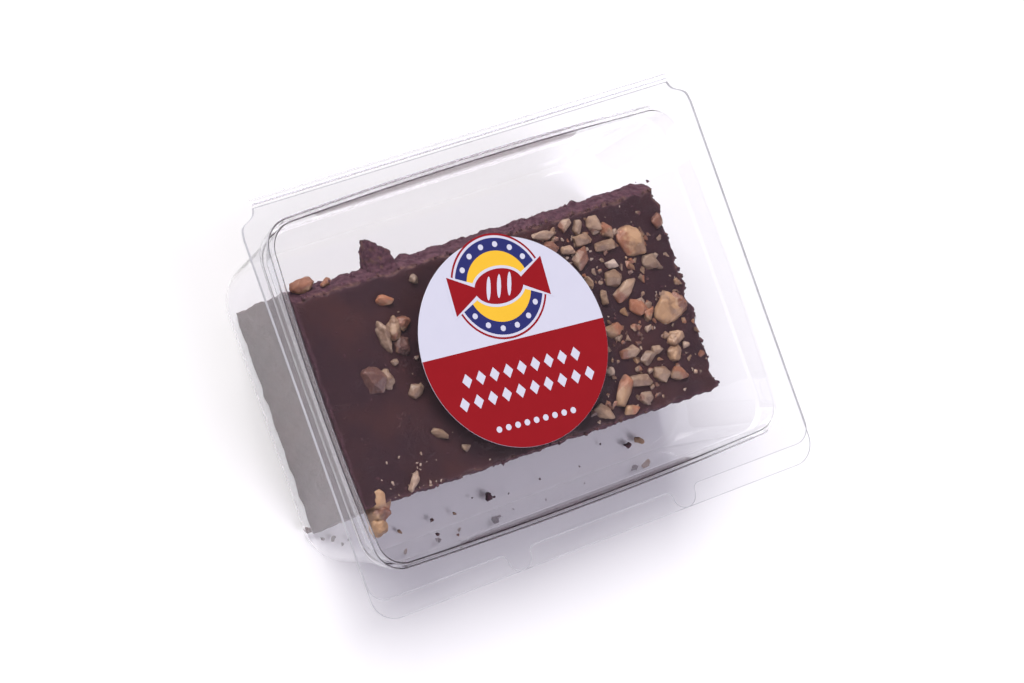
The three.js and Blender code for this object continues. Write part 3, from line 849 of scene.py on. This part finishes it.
LABEL_TURN = -4.3
SPLIT_Y = 0.4
PRINT_THICK = 0.008
PRINT_LAYERS = 9

# The badge in the upper field: its middle, its rings' widths from the outside in, and its beads
BADGE_X, BADGE_Y = 0.0, 13.6
BADGE_RINGS = [("red", 25.6), ("white", 24.6), ("navy", 23.4), ("yellow", 17.2)]
BEADS = 16
BEAD_RADIUS = 10.15
BEAD_WIDTH = 1.4

# The wrapped sweet on the badge: its body, and its wings' reach and half heights
SWEET_SIZE = (13.4, 8.4)
WING_ROOT, WING_TIP = 5.6, 13.2
WING_ROOT_HALF, WING_TIP_HALF = 0.5, 4.8
SWEET_STRIPES = (-2.9, 0.0, 2.9)

# Rows of plain marks in the lower field: y, count and pitch
LOZENGE_ROWS = [(-6.4, 9, 3.8), (-11.7, 10, 3.9)]
LOZENGE_HALF_X, LOZENGE_HALF_Y = 1.35, 1.75
DOT_ROW = (-19.3, 9, 2.6)
DOT_WIDTH = 1.5


def arc(radius, start, end, steps=96):
    """Points along a circle about the label's middle, between two angles in degrees."""
    angles = np.radians(np.linspace(start, end, steps))
    return [(radius * math.cos(angle), radius * math.sin(angle)) for angle in angles]


def ellipse(x, y, wide, high, turn=0.0, steps=28):
    """Points round an ellipse that is turned by degrees."""
    cos, sin = math.cos(math.radians(turn)), math.sin(math.radians(turn))
    out = []
    for angle in np.linspace(0, 2 * math.pi, steps, endpoint=False):
        a, b = wide / 2 * math.cos(angle), high / 2 * math.sin(angle)
        out.append((x + a * cos - b * sin, y + a * sin + b * cos))
    return out


def label_print(radius):
    """The printed shapes by colour, each an outline on the label, and how many layers up it lies."""
    dip = math.degrees(math.asin(SPLIT_Y / radius))
    shapes = {"red": [(arc(radius, 180 - dip, 360 + dip), 0)], "navy": [], "yellow": [], "white": []}
    for layer, (colour, width) in enumerate(BADGE_RINGS):
        shapes[colour].append((ellipse(BADGE_X, BADGE_Y, width, width, steps=96), layer))
    for step in range(BEADS):
        angle = (step + 0.5) / BEADS * 2 * math.pi
        x, y = BADGE_X + BEAD_RADIUS * math.cos(angle), BADGE_Y + BEAD_RADIUS * math.sin(angle)
        shapes["white"].append((ellipse(x, y, BEAD_WIDTH, BEAD_WIDTH), 3))
    # The sweet lies across the badge, white under red
    for colour, grow, layer in (("white", 0.7, 4), ("red", 0.0, 6)):
        length, height = (size + 2 * grow for size in SWEET_SIZE)
        shapes[colour].append((ellipse(BADGE_X, BADGE_Y, length, height, steps=64), layer + 1))
        root_half, tip_half = WING_ROOT_HALF + grow, WING_TIP_HALF + grow
        for side in (-1, 1):
            root, tip = side * (WING_ROOT - grow), side * (WING_TIP + grow)
            wing = [(root, BADGE_Y - root_half), (tip, BADGE_Y - tip_half),
                    (tip, BADGE_Y + tip_half), (root, BADGE_Y + root_half)]
            shapes[colour].append((wing if side > 0 else list(reversed(wing)), layer))
    for x in SWEET_STRIPES:
        shapes["white"].append((ellipse(x, BADGE_Y, 1.1, 5.8, -18), 8))
    for y, count, pitch in LOZENGE_ROWS:
        for step in range(count):
            x = (step - (count - 1) / 2) * pitch
            lozenge = [(x - LOZENGE_HALF_X, y), (x, y - LOZENGE_HALF_Y),
                       (x + LOZENGE_HALF_X, y), (x, y + LOZENGE_HALF_Y)]
            shapes["white"].append((lozenge, 1))
    y, count, pitch = DOT_ROW
    for step in range(count):
        x = (step - (count - 1) / 2) * pitch
        shapes["white"].append((ellipse(x, y, DOT_WIDTH, DOT_WIDTH), 1))
    return shapes


def make_label(materials):
    low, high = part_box("label")
    radius = (high.x - low.x) / 2 / MM
    middle = Vector(((low.x + high.x) / 2 / MM, (low.y + high.y) / 2 / MM, 0))
    bottom, top = low.z / MM, high.z / MM - PRINT_LAYERS * PRINT_THICK
    rows = []
    for inset, z in ((1.0, bottom), (0.0, bottom), (0.0, top - 0.03), (0.03, top), (1.0, top)):
        reach = radius - inset
        rows.append([
            (middle.x + reach * math.cos(angle), middle.y + reach * math.sin(angle), z)
            for angle in np.linspace(0, 2 * math.pi, 180, endpoint=False)
        ])
    label = make_object("label_paper", *skin_over(rows), "label_paper", "lid")
    label.data.materials.append(materials["white"])
    sharpen(label)
    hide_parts("label")
    turned = Matrix.Rotation(math.radians(LABEL_TURN), 3, "Z")
    for colour, shapes in label_print(radius - 0.04).items():
        points, faces = [], []
        for outline, layer in shapes:
            start, count = len(points), len(outline)
            for z in (top - 0.004, top + (layer + 1) * PRINT_THICK):
                for x, y in outline:
                    place = middle + turned @ Vector((x, y, 0))
                    points.append((place.x, place.y, z))
            faces.append(tuple(start + index for index in reversed(range(count))))
            faces.append(tuple(start + count + index for index in range(count)))
            for index in range(count):
                a, b = start + index, start + (index + 1) % count
                faces.append((a, b, b + count, a + count))
        piece = make_object(f"print_{colour}", points, faces, "label_paper", "lid")
        piece.data.shade_flat()
        piece.data.materials.append(materials[colour])
        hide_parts("label")


# ---- Materials ----

class Nodes:
    """Short names for building one material's node tree."""

    def __init__(self, name):
        self.material = bpy.data.materials.new(name)
        self.material.use_nodes = True
        self.tree = self.material.node_tree
        self.shader = self.tree.nodes["Principled BSDF"]
        self.output = self.tree.nodes["Material Output"]

    def add(self, kind, settings=None, **inputs):
        node = self.tree.nodes.new(kind)
        for name, value in (settings or {}).items():
            setattr(node, name, value)
        for name, value in inputs.items():
            self.put(node.inputs[name.replace("_", " ")], value)
        return node

    def put(self, socket, value):
        if isinstance(value, bpy.types.NodeSocket):
            self.tree.links.new(value, socket)
        else:
            socket.default_value = value

    def math(self, operation, *values):
        node = self.add("ShaderNodeMath", {"operation": operation})
        for socket, value in zip(node.inputs, values):
            self.put(socket, value)
        return node.outputs[0]

    def mix(self, share, first, second):
        node = self.add("ShaderNodeMix", {"data_type": "RGBA"})
        self.put(node.inputs["Factor"], share)
        for name, value in (("A", first), ("B", second)):
            socket = next(s for s in node.inputs if s.name == name and s.type == "RGBA")
            self.put(socket, value if isinstance(value, bpy.types.NodeSocket) else (*value, 1.0))
        return next(s for s in node.outputs if s.type == "RGBA")

    def noise(self, scale, detail=3.0, roughness=0.55):
        place = self.add("ShaderNodeTexCoord")
        node = self.add("ShaderNodeTexNoise", Scale=scale, Detail=detail, Roughness=roughness)
        self.put(node.inputs["Vector"], place.outputs["Object"])
        return node.outputs["Fac"]

    def steps(self, value, low, high, start=0.0, end=1.0):
        node = self.add("ShaderNodeMapRange", {"interpolation_type": "SMOOTHSTEP"})
        for name, given in (("Value", value), ("From Min", low), ("From Max", high),
                            ("To Min", start), ("To Max", end)):
            self.put(node.inputs[name], given)
        return node.outputs[0]

    def bump(self, height, distance, strength=1.0):
        node = self.add("ShaderNodeBump", Strength=strength, Distance=distance)
        self.put(node.inputs["Height"], height)
        return node.outputs["Normal"]

    def set(self, **inputs):
        for name, value in inputs.items():
            socket = self.shader.inputs[name.replace("_", " ")]
            if not isinstance(value, (bpy.types.NodeSocket, float, int)) and len(value) == 3:
                value = (*value, 1.0)
            self.put(socket, value)


def clear_plastic(name, roughness):
    m = Nodes(name)
    drift = m.noise(30, 2)
    m.set(Base_Color=m.mix(drift, (0.995, 0.995, 1.0), (0.985, 0.985, 0.995)),
          Roughness=roughness, IOR=1.39, Transmission_Weight=1.0)
    path = m.add("ShaderNodeLightPath")
    lets_light = m.add("ShaderNodeBsdfTransparent", Color=(0.99, 0.99, 0.995, 1.0))
    surface = m.shader.outputs[0]
    for ray in ("Is Diffuse Ray", "Is Shadow Ray"):
        mixed = m.add("ShaderNodeMixShader")
        m.put(mixed.inputs[0], path.outputs[ray])
        m.put(mixed.inputs[1], surface)
        m.put(mixed.inputs[2], lets_light.outputs[0])
        surface = mixed.outputs[0]
    m.put(m.output.inputs["Surface"], surface)
    return m.material


def cut_plastic():
    """The sheet's cut edge as an opaque grey strip: partly the cut's own whitened face, partly painted
    light and shade for the thin line that the clear edge shows.
    """
    m = Nodes("cut_plastic")
    drift = m.noise(160, 3)
    m.set(Base_Color=m.mix(drift, (0.34, 0.34, 0.36), (0.56, 0.56, 0.59)), Roughness=0.5, IOR=1.5)
    return m.material


def fudge_material():
    m = Nodes("fudge")
    crumbly = m.add("ShaderNodeAttribute", {"attribute_name": "crumbly"}).outputs["Fac"]
    rim = m.add("ShaderNodeAttribute", {"attribute_name": "rim"}).outputs["Fac"]
    broad = m.noise(55, 3)
    fine = m.noise(900, 4, 0.6)
    smooth_top = m.mix(m.steps(broad, 0.38, 0.66), (0.026, 0.0085, 0.0125), (0.043, 0.0135, 0.0140))
    rough_side = m.mix(m.steps(fine, 0.35, 0.7), (0.048, 0.016, 0.027), (0.108, 0.045, 0.060))
    warm_edge = m.mix(m.steps(fine, 0.35, 0.65), (0.062, 0.029, 0.027), (0.135, 0.066, 0.053))
    colour = m.mix(crumbly, smooth_top, rough_side)
    colour = m.mix(m.steps(rim, 0.15, 0.8), colour, warm_edge)
    m.set(Base_Color=colour, Roughness=m.steps(crumbly, 0, 1, 0.45, 0.85), Specular_IOR_Level=0.25)
    marks = m.steps(m.noise(150, 4, 0.65), 0.52, 0.66)
    height = m.math("ADD", m.math("MULTIPLY", fine, m.steps(crumbly, 0, 1, 0.12, 1.0)),
                    m.math("MULTIPLY", m.math("ADD", m.noise(260, 3), marks), 0.4))
    m.set(Normal=m.bump(height, 0.0005, 0.7))
    return m.material


def pecan_material():
    m = Nodes("pecan")
    tint = m.add("ShaderNodeAttribute", {"attribute_name": "tint"})
    parts = m.add("ShaderNodeSeparateColor")
    m.put(parts.inputs[0], tint.outputs["Color"])
    tone, skin, hue = parts.outputs[0], parts.outputs[1], parts.outputs[2]
    fine = m.noise(1100, 4, 0.6)
    crevice_shade = m.noise(300, 2)
    flesh = m.mix(tone, (0.180, 0.116, 0.080), (0.40, 0.215, 0.098))
    flesh = m.mix(m.math("MULTIPLY", tint.outputs["Alpha"], 0.85), flesh, (0.50, 0.38, 0.32))
    # Darker patches of flesh, laid by noise, are painted shade standing in for the nut's crevices
    flesh = m.mix(m.steps(crevice_shade, 0.45, 0.66, 0.0, 0.65), flesh, (0.13, 0.062, 0.038))
    flesh = m.mix(m.steps(fine, 0.55, 0.75, 0.0, 0.4), flesh, (0.46, 0.33, 0.24))
    brown = m.mix(hue, (0.080, 0.029, 0.024), (0.30, 0.105, 0.048))
    flaked = m.math("MULTIPLY", m.steps(fine, 0.4, 0.65, 0.05, 0.35), m.math("ADD", hue, 0.3))
    brown = m.mix(flaked, brown, (0.32, 0.16, 0.095))
    # The nuts' lower parts are mixed towards dark fudge brown: partly smeared fudge, partly painted
    # shade
    smear_and_shade = m.add("ShaderNodeAttribute", {"attribute_name": "smear_and_shade"}).outputs["Fac"]
    colour = m.mix(m.math("MULTIPLY", smear_and_shade, 0.8), m.mix(skin, flesh, brown), (0.055, 0.024, 0.022))
    m.set(Base_Color=colour, Roughness=0.5)
    height = m.math("ADD", m.noise(700, 3), m.math("MULTIPLY", fine, 0.5))
    m.set(Normal=m.bump(height, 0.0003, 0.6))
    return m.material


def print_material(colour, low, high):
    """Printed paper whose colour drifts slightly between two shades."""
    m = Nodes(f"print_{colour}")
    m.set(Base_Color=m.mix(m.noise(240, 4), low, high), Roughness=0.45, Specular_IOR_Level=0.3)
    return m.material


PRINT_COLOURS = {
    "white": ((0.54, 0.54, 0.64), (0.57, 0.57, 0.665)),
    "red": ((0.235, 0.001, 0.005), (0.265, 0.002, 0.007)),
    "navy": ((0.016, 0.019, 0.115), (0.021, 0.025, 0.14)),
    "yellow": ((0.73, 0.42, 0.025), (0.78, 0.47, 0.035)),
}


def floor_material():
    m = Nodes("floor")
    m.set(Base_Color=m.mix(m.noise(3, 2), (0.91, 0.91, 0.91), (0.93, 0.93, 0.93)), Roughness=0.9,
          Specular_IOR_Level=0.1)
    return m.material


# ---- Scene ----

FLOOR_HALF = 3
FLOOR_DROP = 0.0001

# The room is bright at floor level and fades to a share of that overhead
ROOM_TINT = (0.91, 0.87, 1.0, 1.0)
ROOM_FADE = (("From Min", 0.0), ("From Max", 0.65), ("To Min", 1.0), ("To Max", 0.24))

# Name, place in metres, size, watts and colour
LAMPS = [
    ("key", (-0.80, 2.60, 2.46), (3.6, 1.3), 182, (1.0, 0.985, 0.965)),
    ("front", (1.3, -2.0, 1.9), (1.8, 1.2), 39, (0.93, 0.88, 1.0)),
]


def make_floor():
    mesh = bpy.data.meshes.new("floor")
    corners = [(-1, -1), (1, -1), (1, 1), (-1, 1)]
    mesh.from_pydata([(x * FLOOR_HALF, y * FLOOR_HALF, 0) for x, y in corners], [], [(0, 1, 2, 3)])
    floor = bpy.data.objects.new("floor", mesh)
    floor.location.z = -FLOOR_DROP
    bpy.context.scene.collection.objects.link(floor)
    mesh.materials.append(floor_material())


def make_camera():
    place, target = Vector(CAMERA_PLACE), Vector(CAMERA_TARGET)
    back = (place - target).normalized()
    right = Vector((0, 1, 0)).cross(back).normalized()
    up = back.cross(right)
    turned_right = math.cos(CAMERA_ROLL) * right + math.sin(CAMERA_ROLL) * up
    turned_up = math.cos(CAMERA_ROLL) * up - math.sin(CAMERA_ROLL) * right
    data = bpy.data.cameras.new("camera")
    data.lens = CAMERA_LENS
    data.sensor_width = CAMERA_SENSOR
    camera = bpy.data.objects.new("camera", data)
    bpy.context.scene.collection.objects.link(camera)
    matrix = Matrix((turned_right, turned_up, back)).transposed().to_4x4()
    matrix.translation = place * MM
    camera.matrix_world = matrix
    bpy.context.scene.camera = camera


def add_lamp(name, place, size, energy, colour):
    data = bpy.data.lights.new(name, "AREA")
    data.shape = "RECTANGLE"
    data.size, data.size_y = size
    data.energy = energy
    data.color = colour
    lamp = bpy.data.objects.new(name, data)
    lamp.location = place
    lamp.rotation_euler = (-lamp.location).to_track_quat("-Z", "Y").to_euler()
    bpy.context.scene.collection.objects.link(lamp)


def make_lights():
    world = bpy.data.worlds.new("studio")
    world.use_nodes = True
    nodes, links = world.node_tree.nodes, world.node_tree.links
    nodes["Background"].inputs["Color"].default_value = ROOM_TINT
    place, parts = nodes.new("ShaderNodeTexCoord"), nodes.new("ShaderNodeSeparateXYZ")
    fade = nodes.new("ShaderNodeMapRange")
    fade.interpolation_type = "SMOOTHSTEP"
    for name, value in ROOM_FADE:
        fade.inputs[name].default_value = value
    links.new(place.outputs["Generated"], parts.inputs[0])
    links.new(parts.outputs["Z"], fade.inputs["Value"])
    links.new(fade.outputs[0], nodes["Background"].inputs["Strength"])
    bpy.context.scene.world = world
    for lamp in LAMPS:
        add_lamp(*lamp)


bpy.context.scene.view_settings.view_transform = "Standard"
make_camera()
make_lights()
make_floor()

PLASTIC = (clear_plastic("clear_plastic", 0.025), cut_plastic())
FUDGE = fudge_material()
PECAN = pecan_material()
make_tub(PLASTIC)
make_lid(PLASTIC)
make_hinge(clear_plastic("hinge_plastic", 0.22))
make_slab(FUDGE)
make_splinter(FUDGE)
make_crumbs(FUDGE)
make_pecans(PECAN)
make_label({name: print_material(name, *shades) for name, shades in PRINT_COLOURS.items()})
